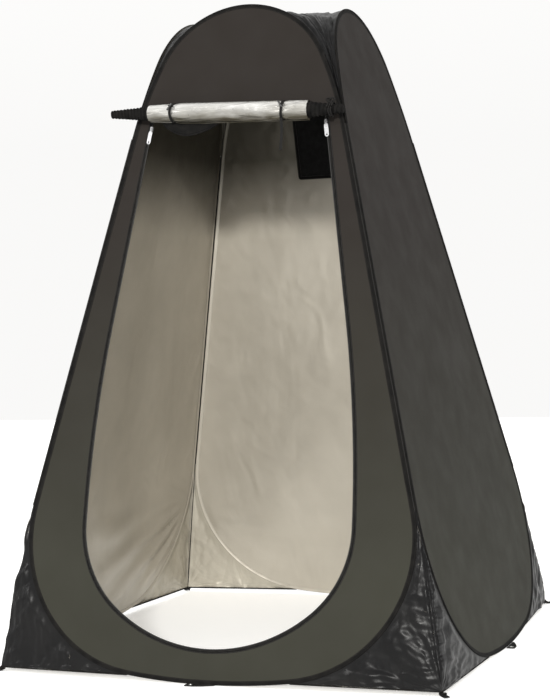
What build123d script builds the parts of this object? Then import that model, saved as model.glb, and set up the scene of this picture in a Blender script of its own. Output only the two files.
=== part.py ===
"""Pop-up privacy shower tent: four sprung steel hoops hold four leaning fabric walls.

Each wall is made in its own flat frame (x across, y up the slope, z out of the wall) and
then stood on the ground. The walls hinge on each other along their four corner seams.
"""
import os
from math import asin, cos, degrees, radians, sin, sqrt, tan

from build123d import *

os.makedirs("parts", exist_ok=True)

# ---- driving dimensions, millimetres and degrees -------------------------------------
height = 1900.0             # ground to the top of the hoops
half_base = 678.0           # centre to a wall's plane, at the ground
lean = 12.77                # how far each wall leans inwards

# hoop: one closed loop of spring wire in a fabric sleeve
wire_radius = 1.6
ferrule_radius = 2.3
ferrule_length = 45.0
ferrule_play = 0.25         # between the curved wire and the straight ferrule
ferrule_lift = 0.07         # centres the ferrule on the bowed wire
wire_butt_gap = 1.0         # between the wire's two ends, inside the ferrule
sleeve_radius = 3.2
sleeve_bore = 2.5
bottom_radius = 1924.0      # the long flat curve that stands on the ground
corner_radius = 381.0       # lower corners
shoulder_radius = 1069.0    # upper sides
crown_radius = 275.0        # top of the hoop

cloth = 0.8                 # thickness of every plain sheet
seam_gap = 0.2              # between pieces sewn side by side
hinge_clearance = 0.15      # between two sleeves folded flat together
open_seam_clearance = 0.8   # further inset of the two sleeves at the fold's open corner

# doorway in the front wall
door_half_width = 396.0
door_bottom = 96.0
door_widest = 430.0         # height of the widest place, up the slope
door_straight = 1000.0      # where the straight upper sides start
door_top = 1610.0
door_taper = 8.3            # upper sides lean in by this angle
door_corner_radius = 300.0

# zip round the doorway
chain_width = 3.0
chain_thickness = 2.4
tape_width = 9.0
zip_top = 1606.0
slider_height_left = 1588.0
slider_height_right = 1572.0
slider_width = 9.0
slider_length = 12.0
slider_plate = 1.2          # thickness of its two plates
slider_plate_height = 2.1   # from the chain's middle to a plate's middle
slider_corner = 2.5
wedge_size = (2.2, 7.0, 4.2)
wedge_offset = 3.2
bail_width = 2.0
bail_span = 8.0
bail_bar = 1.0              # thickness of the bar and its feet
bail_bar_height = 4.7
bail_foot = 2.2             # height of its feet
bail_foot_height = 3.6
pull_length = 40.0
pull_width = 12.0
pull_thickness = 1.2
pull_hole_radius = 2.4
pull_pivot_height = 3.5     # above the chain's middle
yoke_bar_radius = 0.45
yoke_width = 7.0
yoke_arm = 8.0
yoke_thickness = 0.9
yoke_arm_offset = 3.0
yoke_overlap = 1.0          # of the blade over the yoke's arms

# rolled-up door, tied above the doorway
roll_centre = Vector(-15.0, 1611.0, 33.0)
roll_tilt = -3.0
roll_half_length = 248.0
roll_radius = 29.0
roll_left_radius = 24.0
roll_right_radius = 26.5
roll_full_part = 0.55       # share of the half length that stays nearly full
roll_fall_left = 0.6        # what it has lost there, each way
roll_fall_right = 0.3
roll_left_tail = 130.0      # zip edge wound up at the left end
roll_right_tail = 107.0
tail_left_radii = (22.5, 13.5)
tail_right_radii = (25.0, 13.0)
tie_offset = 172.0
tie_width = 9.0
tie_thickness = 1.2
tie_bore = 29.6
tie_end_length = 95.0
tie_end_overlap = 2.0       # of the hanging end over the band
tie_end_front = 8.0         # in front of the roll's axis
tie_foot_height = 16.0      # where the band is sewn to the wall
tie_foot_top = 2.6          # from the wall's middle to the band
toggle_length = 24.0
toggle_radius = 2.6
toggle_waist_length = 4.0
toggle_waist_depth = 0.8
toggle_turn = 55.0          # how far it hangs off level
toggle_rise = 8.0           # above the roll's axis
toggle_gap = 0.4            # between toggle and band

# mesh window in the back wall, with a flap over it outside
window_width = 220.0
window_height = 240.0
window_centre = -45.0
window_bottom = 1466.0
window_binding = 12.0
window_binding_thickness = 1.6
window_corner = 14.0
flap_margin = 16.0
flap_front = 2.2            # the flap's middle, outside the wall's

# corners and roof
gusset_corner = 651.0       # ground corner of a gusset, each way from the centre
gusset_lift = 12.0          # its height above the ground
gusset_start = 240.0        # where the gusset's hem leaves the hoop
gusset_outset = 2.0         # between a sleeve and the gusset's edge
roof_centre_height = 1888.0
roof_seam_gap = 0.9         # from each roof gore's edge to the diagonal seam
roof_clearance = 0.8        # between a sleeve and the roof's edge
roof_thickness = 0.75       # drop of the roof's underside, in thicknesses of cloth
hem_points = 3              # along a gusset's hem and round each corner arc
corner_points = 14
roof_points = 6
seam_tape_width = 11.0
seam_tape_sink = 0.2        # below the line where the walls' planes meet

# pegging points
tab_across = 30.0
tab_out = 24.0
tab_thickness = 1.6
tab_lift = 0.8
tab_offset = -40.0
tab_gap = 0.3               # between sleeve and tab
eyelet_bore = 4.0
eyelet_barrel = 4.9
eyelet_flange = 6.8
eyelet_rim = 0.5
eyelet_play = 0.05          # round the barrel
flange_play = 0.02          # between a flange and the tab
loop_gap = 1.0              # from the gusset's corner, and above the ground
loop_length = 26.0
loop_width = 14.0
loop_thickness = 3.0

SIDES = ("front", "right", "back", "left")
NEXT_SIDE = {"front": "right", "right": "back", "back": "left", "left": "front"}
TURN = {"front": 0.0, "right": 90.0, "back": 180.0, "left": 270.0}
OPEN_EDGE = {"back": 1, "left": -1}     # which edge of these walls is the open seam

# ---- shared geometry ------------------------------------------------------------------
tilt = sin(radians(lean))
slope_top = (height - sleeve_radius) / cos(radians(lean))
slope_bottom = sleeve_radius / cos(radians(lean))
wall_frame = Plane(
    origin=(0, -half_base, 0),
    x_dir=(1, 0, 0),
    z_dir=(0, -cos(radians(lean)), tilt),
)

up_seam = Vector(-tilt, 1).normalized()      # along a wall's right-hand edge
inward = Vector(-1, -tilt).normalized()      # square to it, into the wall
hinge_offset = sleeve_radius + hinge_clearance
hinge_inset = hinge_offset * cos(radians(lean)) / sqrt(1 + tilt**2)
hoop_inset = hinge_inset + hinge_offset


def place(shape, side):
    """Stand a shape made in a wall's own frame on the given side."""
    return Rot(0, 0, TURN[side]) * (wall_frame.location * shape)


def to_ground_frame(point, side):
    """The same move for one point."""
    moved = Rot(0, 0, TURN[side]) * (wall_frame.location * Pos(point.X, point.Y, point.Z))
    return moved.position


def keep(shape, name):
    """Write one piece to its own file."""
    shape.label = name
    export_step(shape, f"parts/{name}.step")


def arc(start, end, centre):
    """Arc between two points of the same circle, the short way round."""
    radius = (start - centre).length
    middle = centre + ((start - centre) + (end - centre)).normalized() * radius
    return ThreePointArc(start, middle, end)


def mirrored(point):
    return Vector(-point.X, point.Y)


# ---- hoops ----------------------------------------------------------------------------
def touching_centre(foot, radius, other, reach):
    """Centre of a circle that touches the straight edge, at a given reach from a point."""
    start = foot + inward * radius
    along = (other - start).dot(up_seam)
    across = (other - start).dot(inward)
    return start + up_seam * (along - sqrt(reach**2 - across**2))


def hoop_half(inset, extra):
    """Points and arc centres of the hoop's right half, from bottom to top."""
    foot = Vector(half_base, 0) + inward * (hoop_inset + extra)
    base_centre = Vector(0, slope_bottom + bottom_radius)
    crown_centre = Vector(0, slope_top - crown_radius)
    corner_centre = touching_centre(foot, corner_radius, base_centre, bottom_radius - corner_radius)
    shoulder_centre = touching_centre(foot, shoulder_radius, crown_centre, shoulder_radius - crown_radius)
    points = [
        Vector(0, slope_bottom + inset),
        base_centre + (corner_centre - base_centre).normalized() * (bottom_radius - inset),
        corner_centre - inward * (corner_radius - inset),
        shoulder_centre - inward * (shoulder_radius - inset),
        crown_centre + (crown_centre - shoulder_centre).normalized() * (crown_radius - inset),
        Vector(0, slope_top - inset),
    ]
    centres = [base_centre, corner_centre, None, shoulder_centre, crown_centre]
    return points, centres


def half_edges(points, centres):
    edges = []
    for start, end, centre in zip(points, points[1:], centres):
        edges.append(arc(start, end, centre) if centre else Line(start, end))
    return edges


def hoop_outline(side, inset=0.0):
    """Closed hoop curve, moved into the wall by the given inset."""
    edges = []
    for hand in (1, -1):
        extra = open_seam_clearance if OPEN_EDGE.get(side) == hand else 0.0
        points, centres = hoop_half(inset, extra)
        if hand == -1:
            points = [mirrored(p) for p in points]
            centres = [mirrored(c) if c else None for c in centres]
        edges += half_edges(points, centres)
    return Wire(edges)


def sweep_round(path, section):
    """Sweep a section, centred on the path, round a closed curve that starts at the bottom."""
    start = Plane(origin=(0, slope_bottom, 0), x_dir=(0, 1, 0), z_dir=(1, 0, 0))
    return sweep(start * section, path=path)


def hoop_wire(side):
    ring = sweep_round(hoop_outline(side), Circle(wire_radius))
    butt_gap = Pos(0, slope_bottom, 0) * Box(wire_butt_gap, 4 * wire_radius, 4 * wire_radius)
    return ring - butt_gap


def hoop_ferrule():
    tube = Cylinder(ferrule_radius, ferrule_length) - Cylinder(wire_radius + ferrule_play, ferrule_length)
    return Pos(0, slope_bottom + ferrule_lift, 0) * Rot(0, 90, 0) * tube


def hoop_sleeve(side):
    return sweep_round(hoop_outline(side), Circle(sleeve_radius) - Circle(sleeve_bore))


# ---- walls and doorway ------------------------------------------------------------------
def sheet(face, thickness=cloth, middle=0.0):
    """Flat sheet of the given thickness about a middle height."""
    return extrude(Pos(0, 0, middle - thickness / 2) * face, amount=thickness)


def doorway_edges(offset, top):
    """Right half of the doorway's edge, moved out of the opening by the offset."""
    turn = radians(door_taper)
    rise = door_widest - door_bottom
    corner_centre = Vector(door_half_width - door_corner_radius, door_widest)
    gap = rise - door_corner_radius
    base_radius = door_corner_radius + (corner_centre.X**2 + gap**2) / (2 * gap)
    base_centre = Vector(0, door_bottom + base_radius)
    side_radius = (door_straight - door_widest) / sin(turn)
    side_centre = Vector(door_half_width - side_radius, door_widest)
    square = Vector(cos(turn), sin(turn))
    straight_start = side_centre + square * (side_radius + offset)
    length = (top - straight_start.Y) / cos(turn)
    points = [
        base_centre - Vector(0, base_radius + offset),
        base_centre + (corner_centre - base_centre).normalized() * (base_radius + offset),
        corner_centre + Vector(door_corner_radius + offset, 0),
        straight_start,
        straight_start + Vector(-sin(turn), cos(turn)) * length,
    ]
    centres = [base_centre, corner_centre, side_centre, None]
    return points, centres


def doorway_face(offset, top):
    points, centres = doorway_edges(offset, top)
    right = half_edges(points, centres)
    left = half_edges([mirrored(p) for p in points], [mirrored(c) if c else None for c in centres])
    lintel = Line(points[-1], mirrored(points[-1]))
    return make_face(Wire(right + [lintel] + left))


def zip_band(inner, outer, thickness):
    """Band round the doorway, open at the top."""
    return sheet(doorway_face(outer, zip_top) - doorway_face(inner, zip_top + 1), thickness)


def slider_position(hand, up_slope):
    """Middle of the chain on the doorway's straight side, at a height up the slope."""
    points, _ = doorway_edges(chain_width / 2, up_slope)
    return Vector(hand * points[-1].X, up_slope)


def slider_frame(hand, up_slope):
    spot = slider_position(hand, up_slope)
    return Pos(spot.X, spot.Y, 0) * Rot(0, 0, hand * door_taper)


def zip_slider(hand):
    """Two plates round the chain, a wedge on the doorway's side and a bail on top."""
    upper = Pos(0, 0, slider_plate_height) * Box(slider_width, slider_length, slider_plate)
    lower = Pos(0, 0, -slider_plate_height) * Box(slider_width, slider_length, slider_plate)
    plates = fillet((upper + lower).edges().filter_by(Axis.Z), slider_corner)
    wedge = Pos(-hand * wedge_offset, 0, 0) * Box(*wedge_size)
    bar = Pos(0, 0, bail_bar_height) * Box(bail_width, bail_span, bail_bar)
    foot_place = (bail_span - bail_bar) / 2
    foot = Box(bail_width, bail_bar, bail_foot)
    feet = [Pos(0, end * foot_place, bail_foot_height) * foot for end in (-1, 1)]
    return plates + wedge + bar + feet[0] + feet[1]


def zip_pull():
    """Flat metal pull with a hole, hung on the slider's bail by a small yoke."""
    cross_bar = Pos(0, 0, pull_pivot_height) * Rot(0, 90, 0) * Cylinder(yoke_bar_radius, yoke_width)
    arm = Box(yoke_thickness, yoke_arm, yoke_thickness)
    arms = [Pos(side * yoke_arm_offset, -yoke_arm / 2, pull_pivot_height) * arm for side in (-1, 1)]
    blank = SlotCenterToCenter(pull_length - pull_width, pull_width, rotation=90)
    blade = extrude(blank, amount=pull_thickness)
    blade -= Pos(0, -(pull_length - pull_width) / 2, 0) * Cylinder(pull_hole_radius, 4 * pull_thickness)
    blade_middle = -yoke_arm - pull_length / 2 + yoke_overlap
    blade = Pos(0, blade_middle, pull_pivot_height - pull_thickness / 2) * blade
    return cross_bar + arms[0] + arms[1] + blade


# ---- rolled door ------------------------------------------------------------------------
def on_roll(shape):
    """Lay a shape made along x on the roll's tilted axis."""
    return Pos(*roll_centre) * Rot(0, 0, roll_tilt) * shape


def turned(profile):
    """Turn a half profile, given in x and y, round the x axis."""
    return revolve(make_face(Polyline(*profile, close=True)), axis=Axis.X)


def door_roll():
    """The wound fabric, fullest a little inside its ends."""
    ends = roll_half_length
    profile = [
        (-ends, 0),
        (-ends, roll_left_radius),
        (-roll_full_part * ends, roll_radius - roll_fall_left),
        (0, roll_radius),
        (roll_full_part * ends, roll_radius - roll_fall_right),
        (ends, roll_right_radius),
        (ends, 0),
    ]
    return on_roll(turned(profile))


def door_zip_ends():
    """The door's own zip tape, wound up into a ribbed cone at each end of the roll."""
    cones = []
    for hand, tail, radii in (
        (-1, roll_left_tail, tail_left_radii),
        (1, roll_right_tail, tail_right_radii),
    ):
        start = hand * (roll_half_length + seam_gap)
        end = start + hand * tail
        cones.append(on_roll(turned([(start, 0), (start, radii[0]), (end, radii[1]), (end, 0)])))
    return Compound(cones)


def tie_band(hand):
    """Strap round the roll, sewn to the wall behind it; the right one has a hanging end."""
    band = Rot(0, 90, 0) * (
        Cylinder(tie_bore + tie_thickness, tie_width) - Cylinder(tie_bore, 2 * tie_width)
    )
    band = on_roll(Pos(hand * tie_offset, 0, 0) * band)
    middle = on_roll(Pos(hand * tie_offset, 0, 0) * Box(1, 1, 1)).center()
    foot_block = Box(tie_width, tie_foot_height, tie_foot_top - cloth / 2)
    foot = Pos(middle.X, middle.Y, (tie_foot_top + cloth / 2 + seam_gap) / 2) * foot_block
    strap = band + foot
    if hand > 0:
        end = Box(tie_width, tie_end_length, tie_thickness)
        end_middle = middle.Y - tie_bore - tie_end_length / 2 + tie_end_overlap
        strap += Pos(middle.X, end_middle, middle.Z + tie_end_front) * end
    return strap


def toggle_place(hand):
    middle = on_roll(Pos(hand * tie_offset, 0, 0) * Box(1, 1, 1)).center()
    front = middle.Z + tie_bore + tie_thickness + toggle_radius + toggle_gap
    return Vector(middle.X, middle.Y + toggle_rise, front)


def toggle(hand):
    bar = Rot(0, 90, 0) * Cylinder(toggle_radius, toggle_length)
    outside = Cylinder(2 * toggle_radius, toggle_waist_length)
    waist = Rot(0, 90, 0) * (outside - Cylinder(toggle_radius - toggle_waist_depth, toggle_waist_length))
    spot = toggle_place(hand)
    return Pos(spot.X, spot.Y, spot.Z) * Rot(0, 0, -hand * toggle_turn) * (bar - waist)


# ---- window -------------------------------------------------------------------------------
window_middle = window_bottom + window_height / 2


def window_rectangle(grow):
    shape = RectangleRounded(window_width + 2 * grow, window_height + 2 * grow, window_corner + grow)
    return Pos(window_centre, window_middle, 0) * shape


def window_flap():
    """Rain flap on the outside, sewn along its top edge only."""
    wide = window_width + 2 * flap_margin
    tall = window_height + 2 * flap_margin
    face = Pos(window_centre, window_middle, 0) * Rectangle(wide, tall)
    return sheet(face, cloth, middle=flap_front)


# ---- gussets and roof ---------------------------------------------------------------------
def thin_strip(rim, ridge, drop):
    """Thin closed strip of flat triangles between two rows of points, thickened by drop.

    Where neighbouring points of a row coincide the triangle there is left out.
    """
    faces = []

    def triangle(*points):
        pairs = zip(points, points[1:] + points[:1])
        if all((b - a).length > 1e-6 for a, b in pairs):
            faces.append(Face(Wire.make_polygon(points, close=True)))

    def wall(first, second):
        triangle(second, first, first + drop)
        triangle(second, first + drop, second + drop)

    for rim_a, rim_b, ridge_a, ridge_b in zip(rim, rim[1:], ridge, ridge[1:]):
        for corners in ((ridge_a, rim_a, rim_b), (ridge_a, rim_b, ridge_b)):
            triangle(*corners)
            triangle(*[corner + drop for corner in corners[::-1]])
        wall(rim_a, rim_b)
        wall(ridge_b, ridge_a)
    wall(ridge[0], rim[0])
    wall(rim[-1], ridge[-1])
    return Solid(Shell(faces))


def points_on(centre, start, end, count):
    """Evenly turned points of an arc, both ends included."""
    radius = (start - centre).length
    turn = (start - centre).get_signed_angle(end - centre, Vector(0, 0, 1))
    return [
        centre + (start - centre).normalized().rotate(Axis.Z, turn * step / (count - 1)) * radius
        for step in range(count)
    ]


def gusset_rim(side, hand):
    """Points just outside the hoop's lower corner, from the hem up to the seam."""
    outset = -(sleeve_radius + gusset_outset)
    extra = open_seam_clearance if OPEN_EDGE.get(side) == hand else 0.0
    points, centres = hoop_half(outset, extra)
    swing = degrees(asin(gusset_start / bottom_radius))
    hem_start = centres[0] + Vector(0, outset - bottom_radius).rotate(Axis.Z, swing)
    rim = points_on(centres[0], hem_start, points[1], hem_points)
    rim += points_on(centres[1], points[1], points[2], corner_points)[1:]
    return [to_ground_frame(Vector(hand * p.X, p.Y, 0), side) for p in rim]


def gusset(side):
    """Corner piece between this wall's right-hand edge and the next wall's left-hand one."""
    spin = Rot(0, 0, TURN[side])
    apex = (spin * Pos(gusset_corner, -gusset_corner, gusset_lift)).position
    drop = (spin * Pos(-cloth, cloth, 0)).position
    near = gusset_rim(side, 1)
    far = gusset_rim(NEXT_SIDE[side], -1)
    rim = far + near[::-1]
    return thin_strip(rim, [apex] * len(rim), drop)


def roof_half(side, hand):
    """Rim and ridge points of half a gore, from the corner seam up to the hoop's top.

    Level lines join the two hoops at each corner, and the gores meet half way along them.
    """
    extra = open_seam_clearance if OPEN_EDGE.get(side) == hand else 0.0
    points, centres = hoop_half(0.0, extra)
    arcs = points_on(centres[3], points[3], points[4], roof_points)
    arcs += points_on(centres[4], points[4], points[5], roof_points)[1:]
    rim = []
    ridge = []
    for point in arcs:
        spot = wall_frame.location * Pos(hand * point.X, point.Y, -(sleeve_radius + roof_clearance))
        edge = spot.position
        seam = (abs(edge.X) - edge.Y) / 2
        rim.append(edge)
        ridge.append(Vector(hand * seam, -seam - roof_seam_gap, edge.Z))
    return rim, ridge


def roof_gore(side):
    """Quarter of the roof, from the hoop's top to the seams over the corners and the middle."""
    left_rim, left_ridge = roof_half(side, -1)
    right_rim, right_ridge = roof_half(side, 1)
    middle = Vector(0, -roof_seam_gap, roof_centre_height)
    rim = left_rim + [left_rim[-1]] + right_rim[::-1]
    ridge = left_ridge + [middle] + right_ridge[::-1]
    drop = Vector(0, roof_thickness * cloth, -roof_thickness * cloth)
    return Rot(0, 0, TURN[side]) * thin_strip(rim, ridge, drop)


def seam_tape(side):
    """Tape over the two sleeves at this wall's right-hand corner seam."""
    points, _ = hoop_half(0.0, 0.0)
    low = to_ground_frame(points[2], side)
    high = to_ground_frame(points[3], side)
    spin = Rot(0, 0, TURN[side])
    outward = (spin * Pos(1, -1, 0)).position.normalized()
    middle = (low + high) / 2
    along = (high - low).normalized()
    centre_out = half_base - middle.Z * tan(radians(lean))
    corner = (spin * Pos(centre_out, -centre_out, middle.Z)).position
    normal = (outward - along * outward.dot(along)).normalized()
    plane = Plane(origin=corner - normal * seam_tape_sink, x_dir=along, z_dir=normal)
    return plane * Box((high - low).length, seam_tape_width, cloth)


# ---- pegging points -------------------------------------------------------------------------
def tab_centre():
    return Vector(tab_offset, -half_base - sleeve_radius - tab_out / 2 - tab_gap, 0)


def peg_tab(side):
    spot = tab_centre()
    tab = Pos(spot.X, spot.Y, tab_lift + tab_thickness / 2) * (
        Box(tab_across, tab_out, tab_thickness) - Cylinder(eyelet_barrel + eyelet_play, tab_thickness)
    )
    return Rot(0, 0, TURN[side]) * tab


def peg_eyelet(side):
    spot = tab_centre()
    middle = tab_lift + tab_thickness / 2
    barrel = Cylinder(eyelet_barrel, tab_thickness + 2 * eyelet_rim)
    flange_gap = (tab_thickness + eyelet_rim) / 2 + flange_play
    flange = Cylinder(eyelet_flange, eyelet_rim - 2 * flange_play)
    flanges = [Pos(0, 0, end * flange_gap) * flange for end in (-1, 1)]
    ring = barrel + flanges[0] + flanges[1] - Cylinder(eyelet_bore, 4 * tab_thickness)
    return Rot(0, 0, TURN[side]) * (Pos(spot.X, spot.Y, middle) * ring)


def corner_loop(side):
    """Webbing loop, pressed flat, at the ground corner of the gusset."""
    reach = gusset_corner * sqrt(2) + loop_gap + loop_length / 2
    band = Pos(reach, 0, loop_thickness / 2 + loop_gap) * Box(loop_length, loop_width, loop_thickness)
    return Rot(0, 0, TURN[side] - 45) * band


# ---- make every piece ---------------------------------------------------------------------
panel_inset = sleeve_radius + seam_gap

for wall in SIDES:
    keep(place(hoop_wire(wall), wall), f"hoop_wire_{wall}")
    keep(place(hoop_ferrule(), wall), f"hoop_ferrule_{wall}")
    keep(place(hoop_sleeve(wall), wall), f"hoop_sleeve_{wall}")
    outline = make_face(hoop_outline(wall, panel_inset))
    if wall == "front":
        outline -= doorway_face(chain_width + tape_width + 2 * seam_gap, door_top)
    if wall == "back":
        outline -= window_rectangle(seam_gap)
    keep(place(sheet(outline), wall), f"wall_panel_{wall}")
    keep(roof_gore(wall), f"roof_gore_{wall}")
    corner = f"{wall}_{NEXT_SIDE[wall]}"
    keep(gusset(wall), f"gusset_{corner}")
    keep(seam_tape(wall), f"seam_tape_{corner}")
    keep(corner_loop(wall), f"corner_loop_{corner}")
    keep(peg_tab(wall), f"peg_tab_{wall}")
    keep(peg_eyelet(wall), f"peg_eyelet_{wall}")

keep(place(zip_band(0, chain_width, chain_thickness), "front"), "zip_chain")
keep(place(zip_band(chain_width + seam_gap, chain_width + seam_gap + tape_width, cloth), "front"), "zip_tape")
keep(place(door_roll(), "front"), "door_roll")
keep(place(door_zip_ends(), "front"), "door_zip_ends")

for name, hand, slider_height in (
    ("left", -1, slider_height_left),
    ("right", 1, slider_height_right),
):
    frame = slider_frame(hand, slider_height)
    keep(place(frame * zip_slider(hand), "front"), f"zip_slider_{name}")
    keep(place(frame * zip_pull(), "front"), f"zip_pull_{name}")
    keep(place(tie_band(hand), "front"), f"door_tie_{name}")
    keep(place(toggle(hand), "front"), f"tie_toggle_{name}")

window_edge = sheet(window_rectangle(0) - window_rectangle(-window_binding), window_binding_thickness)
keep(place(window_edge, "back"), "window_binding")
keep(place(sheet(window_rectangle(-window_binding - seam_gap)), "back"), "window_mesh")
keep(place(window_flap(), "back"), "window_flap")

# ---- the places that the record quotes, in metres --------------------------------------------
def quote(label, vector, scale=0.001):
    print(label, [round(value * scale, 6) for value in (vector.X, vector.Y, vector.Z)])


for wall in SIDES:
    inset = hinge_offset / cos(radians(lean))
    spin = Rot(0, 0, TURN[wall])
    low = (spin * Pos(half_base - inset, inset - half_base, 0)).position
    rise = (spin * Pos(-tilt, tilt, cos(radians(lean)))).position.normalized()
    quote(f"hinge {wall}_{NEXT_SIDE[wall]} through", low)
    quote(f"hinge {wall}_{NEXT_SIDE[wall]} along", rise, 1)
    quote(f"eyelet {wall}", (spin * Pos(*tab_centre())).position + Vector(0, 0, tab_lift + tab_thickness / 2))
for name, hand, slider_height in (
    ("left", -1, slider_height_left),
    ("right", 1, slider_height_right),
):
    spot = slider_position(hand, slider_height)
    below = slider_position(hand, slider_height - 100)
    pivot = to_ground_frame(Vector(spot.X, spot.Y, pull_pivot_height), "front")
    slide = to_ground_frame(below, "front") - to_ground_frame(spot, "front")
    across = Vector(cos(radians(door_taper)), hand * sin(radians(door_taper)))
    turn_axis = to_ground_frame(across, "front") - to_ground_frame(Vector(0, 0), "front")
    quote(f"slide {name}", slide.normalized(), 1)
    quote(f"pull {name} through", pivot)
    quote(f"pull {name} along", turn_axis, 1)
    quote(f"toggle {name}", to_ground_frame(toggle_place(hand), "front"))
quote("front normal", to_ground_frame(Vector(0, 0, 1), "front") - to_ground_frame(Vector(0, 0), "front"), 1)
flap_top = Vector(window_centre, window_middle + window_height / 2 + flap_margin, flap_front)
quote("flap hinge", to_ground_frame(flap_top, "back"))
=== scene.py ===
"""Privacy shower tent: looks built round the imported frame. Metres, same frame as the CAD."""

import itertools
import math

import bmesh
import bpy
import numpy as np
from mathutils import Matrix


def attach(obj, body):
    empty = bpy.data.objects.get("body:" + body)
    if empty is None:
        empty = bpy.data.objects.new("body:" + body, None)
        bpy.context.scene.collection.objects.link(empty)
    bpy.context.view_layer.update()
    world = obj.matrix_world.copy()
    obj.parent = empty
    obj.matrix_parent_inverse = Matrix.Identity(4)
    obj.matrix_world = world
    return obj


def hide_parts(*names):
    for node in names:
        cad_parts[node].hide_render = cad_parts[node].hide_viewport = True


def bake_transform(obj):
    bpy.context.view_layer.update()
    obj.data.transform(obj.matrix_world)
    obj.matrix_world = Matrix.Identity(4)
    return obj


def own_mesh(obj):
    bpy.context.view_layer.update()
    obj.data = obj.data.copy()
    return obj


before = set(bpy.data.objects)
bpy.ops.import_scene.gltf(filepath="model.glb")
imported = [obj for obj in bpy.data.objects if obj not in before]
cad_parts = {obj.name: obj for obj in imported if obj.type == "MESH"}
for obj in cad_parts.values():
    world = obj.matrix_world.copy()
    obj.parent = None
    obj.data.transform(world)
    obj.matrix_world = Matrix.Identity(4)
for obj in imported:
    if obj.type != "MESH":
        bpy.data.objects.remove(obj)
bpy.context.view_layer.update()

# ---- driving dimensions of the CAD part, in metres -----------------------------------
HEIGHT = 1.9
HALF_BASE = 0.678
LEAN = math.radians(12.77)
SIN, COS, TAN = math.sin(LEAN), math.cos(LEAN), math.tan(LEAN)
SLEEVE = 0.0032
TOP = (HEIGHT - SLEEVE) / COS
FOOT = SLEEVE / COS
HOOP_INSET = 0.00654
HOOP_RADII = (1.924, 0.381, 1.069, 0.275)
CLOTH = 0.0008
SIDES = ("front", "right", "back", "left")
NEXT_SIDE = dict(zip(SIDES, SIDES[1:] + SIDES[:1]))
OPEN_EDGE = {"back": 1, "left": -1}
# bodies a corner's fabric bends between, and the direction from one to the other
CORNERS = {
    "front_right": ("front", "right", (1, 1)),
    "right_back": ("right", "back", (-1, 1)),
    "left_front": ("front", "left", (-1, 1)),
}
WINDOW_MIDDLE = (-0.045, 1.586)
WINDOW_SIZE = (0.22, 0.24)


# ---- small geometry helpers ----------------------------------------------------------
def smooth(x, low=0.0, high=1.0):
    t = np.clip((x - low) / (high - low), 0, 1)
    return t * t * (3 - 2 * t)


def hashed(ix, iy, iz, seed):
    h = (ix * 374761393 + iy * 668265263 + iz * 1440662683 + seed * 974634777) & 0xFFFFFFFF
    h = ((h ^ (h >> 13)) * 1274126177) & 0xFFFFFFFF
    return ((h ^ (h >> 16)) & 0xFFFF) / 32767.5 - 1


def noise(p, seed=0):
    """Smooth value noise from -1 to 1 at points (..., 3), one lump a unit."""
    p = np.asarray(p, float)
    base = np.floor(p).astype(np.int64)
    t = p - base
    t = t * t * (3 - 2 * t)
    total = 0
    for step in itertools.product((0, 1), repeat=3):
        weight = 1
        for i, d in enumerate(step):
            weight = weight * (t[..., i] if d else 1 - t[..., i])
        total = total + weight * hashed(*(base[..., i] + d for i, d in enumerate(step)), seed)
    return total


def noise2(a, b, scale_a, scale_b, seed=0):
    a, b = np.broadcast_arrays(np.asarray(a, float), np.asarray(b, float))
    return noise(np.stack([a * scale_a, b * scale_b, np.full(a.shape, 0.37)], -1), seed)


def creased(a, b, scale_a, scale_b, seed=0):
    """Sharp-ridged folds from -1 to 1, of two sizes."""
    first = 1 - 2 * np.abs(noise2(a, b, scale_a, scale_b, seed))
    second = 1 - 2 * np.abs(noise2(a, b, 2.3 * scale_a, 2.3 * scale_b, seed + 7))
    return 0.65 * first + 0.35 * second


def facets(p, seed, coarse=7.0):
    """Crumpled cloth, mostly from -1 to 1: flat facets between creases that run in many directions."""
    rng = np.random.default_rng(seed)
    total, weight = 0, 0
    for octave in range(6):
        pitch = coarse * 1.5**octave
        way = rng.normal(size=3)
        way *= pitch / np.linalg.norm(way)
        bent = p @ way + rng.random() + 0.55 * noise(p * pitch * 0.4, seed + octave)
        share = 1.35**-octave
        total = total + share * (4 * np.abs(bent % 1.0 - 0.5) - 1)
        weight += share
    return total / weight * 2


def turned(side, p):
    """Turn points made for the front wall to another wall."""
    p = np.asarray(p, float)
    for _ in range(SIDES.index(side)):
        p = np.stack([-p[..., 1], p[..., 0], p[..., 2]], -1)
    return p


def on_wall(side, u, s, n=0.0):
    """Points given across, up the slope and out of a wall."""
    u, s, n = np.broadcast_arrays(*[np.asarray(x, float) for x in (u, s, n)])
    return turned(side, np.stack([u, -HALF_BASE + s * SIN - n * COS, s * COS + n * SIN], -1))


def wall_normal(side):
    return turned(side, np.array([0, -COS, SIN]))


def arc(centre, start, end, count):
    a = math.atan2(*(start - centre)[::-1])
    b = math.atan2(*(end - centre)[::-1])
    turn = (b - a + math.pi) % (2 * math.pi) - math.pi
    angles = a + turn * np.linspace(0, 1, count)
    return centre + np.linalg.norm(start - centre) * np.stack([np.cos(angles), np.sin(angles)], -1)


def resampled(points, count, closed=True):
    """Evenly spaced points along a polyline."""
    points = np.asarray(points, float)
    keep = np.r_[True, np.linalg.norm(np.diff(points, axis=0), axis=1) > 1e-7]
    points = points[keep]
    if closed:
        points = np.concatenate([points, points[:1]])
    run = np.r_[0, np.cumsum(np.linalg.norm(np.diff(points, axis=0), axis=1))]
    at = np.linspace(0, run[-1], count, endpoint=not closed)
    return np.stack([np.interp(at, run, points[:, i]) for i in range(points.shape[1])], -1)


def along(points, closed):
    """Unit tangents of a polyline."""
    if closed:
        d = np.roll(points, -1, 0) - np.roll(points, 1, 0)
    else:
        d = np.gradient(points, axis=0)
    return d / np.linalg.norm(d, axis=1, keepdims=True)


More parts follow.
